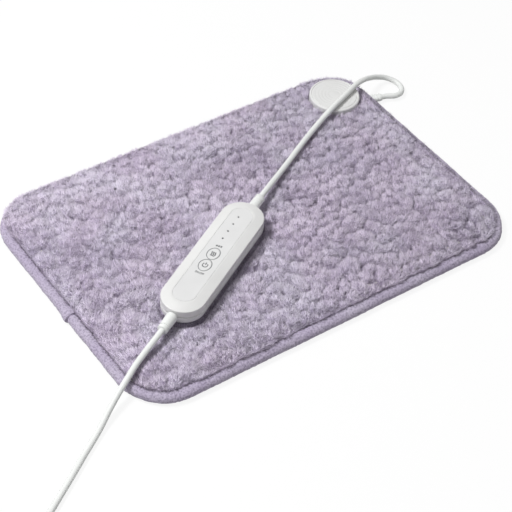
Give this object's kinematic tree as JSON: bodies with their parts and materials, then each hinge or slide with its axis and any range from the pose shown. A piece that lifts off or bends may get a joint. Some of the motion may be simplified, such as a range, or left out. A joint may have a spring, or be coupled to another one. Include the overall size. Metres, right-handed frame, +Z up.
{
  "type": "heating pad with controller",
  "caption": "Soft pile-covered heating pad with rounded corners, an in-line controller with push buttons and indicator lamps, and a mains lead with a flat plug.",
  "frame": {"origin": "middle of the pad's underside, on the surface that it lies on", "axes": "+X along the pad's long side towards the corner with the cord coupling, +Y across the pad, +Z up"},
  "size_m": [0.6119, 0.4865, 0.0327],
  "materials": {
    "pile_cloth": "looped pile cloth",
    "backing_cloth": "smooth woven cloth",
    "binding_cloth": "brushed cloth tape",
    "padding": "needled felt",
    "carrier_sheet": "thin non-woven sheet",
    "silicone": "satin",
    "black_plastic": "matte",
    "can": "printed sleeve, plain",
    "film": "gloss",
    "ceramic": "satin",
    "lamp": "gloss",
    "light_guide": "smoked, gloss",
    "board": "gloss",
    "shell": "satin",
    "panel": "gloss",
    "key": "satin",
    "steel": "zinc plated",
    "brass": "nickel plated",
    "cord": "satin",
    "core": "satin",
    "tie": "matte"
  },
  "bodies": {
    "pad": {"bottom_cover": "backing_cloth", "case_screw_1": "steel", "case_screw_2": "steel", "case_screw_3": "steel", "case_screw_4": "steel", "circuit_board": "board", "coil_tie": "tie", "control_chip": "black_plastic", "coupling_base": "shell", "coupling_boot": "cord", "coupling_cover": "shell", "coupling_screw_1": "steel", "coupling_screw_2": "steel", "coupling_screw_3": "steel", "edge_binding": "binding_cloth", "element_sheet": "carrier_sheet", "face_panel": "panel", "film_capacitor": "film", "fuse": "ceramic", "heat_switch": "black_plastic", "heating_wire": "silicone", "lamp_1": "lamp", "lamp_2": "lamp", "lamp_3": "lamp", "lamp_4": "lamp", "light_guide": "light_guide", "lower_padding": "padding", "lower_shell": "shell", "mains_coil": "cord", "mains_core_1": "core", "mains_core_2": "core", "mains_lead": "cord", "mains_lead_boot": "cord", "pad_core_1": "core", "pad_core_2": "core", "pad_lead": "cord", "pad_lead_boot": "cord", "plug_body": "cord", "plug_boot": "cord", "plug_pin_1": "brass", "plug_pin_2": "brass", "plug_tail": "cord", "power_switch": "black_plastic", "smoothing_capacitor": "can", "terminal_block": "ceramic", "thermal_cutout": "black_plastic", "top_cover": "pile_cloth", "triac": "black_plastic", "upper_padding": "padding", "upper_shell": "shell"},
    "power_key": {"power_button": "key"},
    "heat_key": {"heat_button": "key"}
  },
  "joints": [
    {"name": "power_button_press", "type": "slide", "parent": "pad", "child": "power_key", "axis": [0, 0, -1], "range_m": [0, 0.0006], "stiffness_N_per_m": 2500},
    {"name": "heat_button_press", "type": "slide", "parent": "pad", "child": "heat_key", "axis": [0, 0, -1], "range_m": [0, 0.0006], "stiffness_N_per_m": 2500}
  ]
}
